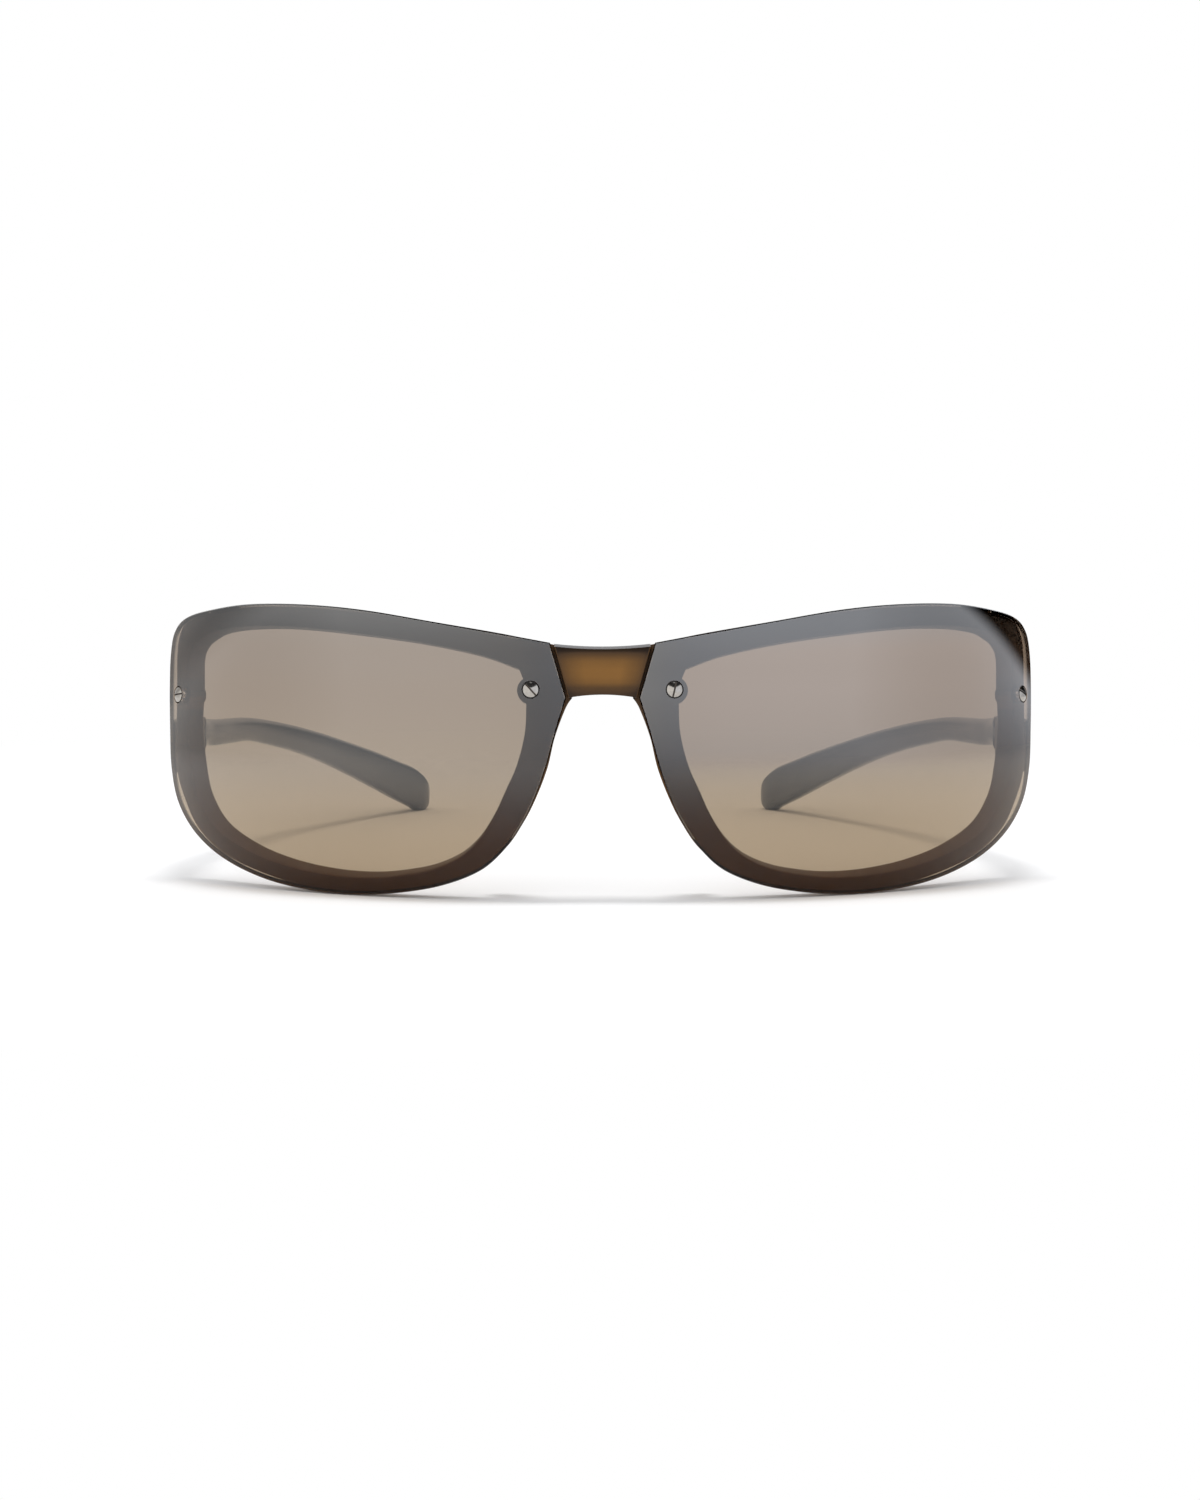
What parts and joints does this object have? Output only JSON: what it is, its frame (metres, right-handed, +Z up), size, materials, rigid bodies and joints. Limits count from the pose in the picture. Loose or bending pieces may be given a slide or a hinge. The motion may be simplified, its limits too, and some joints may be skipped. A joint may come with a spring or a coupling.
{
  "type": "sunglasses",
  "caption": "Wraparound sunglasses with curved tinted lenses screwed to the front of a translucent smoke frame, and folding temples that draw in and drop to rounded tips.",
  "frame": {"origin": "bottom centre of the open pair: on the surface that the lens bottoms and the temple tips rest on, on the symmetry plane, half-way from the lens fronts to the temple tips", "axes": "+Z up, -Y the way the front looks, +X towards the wearer's left temple, +Y back along the temples"},
  "size_m": [0.135, 0.1436, 0.0443],
  "materials": {
    "tinted_lens": "polished polycarbonate with a grey-brown gradient tint and a light mirror coat that fades downwards",
    "smoke_nylon": "translucent bronze-smoke nylon, satin",
    "nickel_silver": "bright nickel silver",
    "black_nylon": "matt black nylon",
    "brass": "turned brass"
  },
  "bodies": {
    "front": {"frame_front": "smoke_nylon", "lens_left": "tinted_lens", "lens_right": "tinted_lens", "lens_screw_nose_left": "nickel_silver", "lens_washer_nose_left": "black_nylon", "lens_insert_nose_left": "brass", "lens_screw_nose_right": "nickel_silver", "lens_washer_nose_right": "black_nylon", "lens_insert_nose_right": "brass", "lens_screw_temple_left": "nickel_silver", "lens_washer_temple_left": "black_nylon", "lens_insert_temple_left": "brass", "lens_screw_temple_right": "nickel_silver", "lens_washer_temple_right": "black_nylon", "lens_insert_temple_right": "brass", "hinge_screw_left": "nickel_silver", "hinge_insert_left": "brass", "hinge_screw_right": "nickel_silver", "hinge_insert_right": "brass"},
    "temple_left": {"temple_left": "smoke_nylon"},
    "temple_right": {"temple_right": "smoke_nylon"}
  },
  "joints": [
    {"name": "temple_left_fold", "type": "hinge", "parent": "front", "child": "temple_left", "pos_m": [0.0636, -0.02684, 0.02202], "axis": [0, 0, 1], "range_deg": [0, 84]},
    {"name": "temple_right_fold", "type": "hinge", "parent": "front", "child": "temple_right", "pos_m": [-0.0636, -0.02684, 0.02202], "axis": [0, 0, -1], "range_deg": [0, 76]}
  ]
}
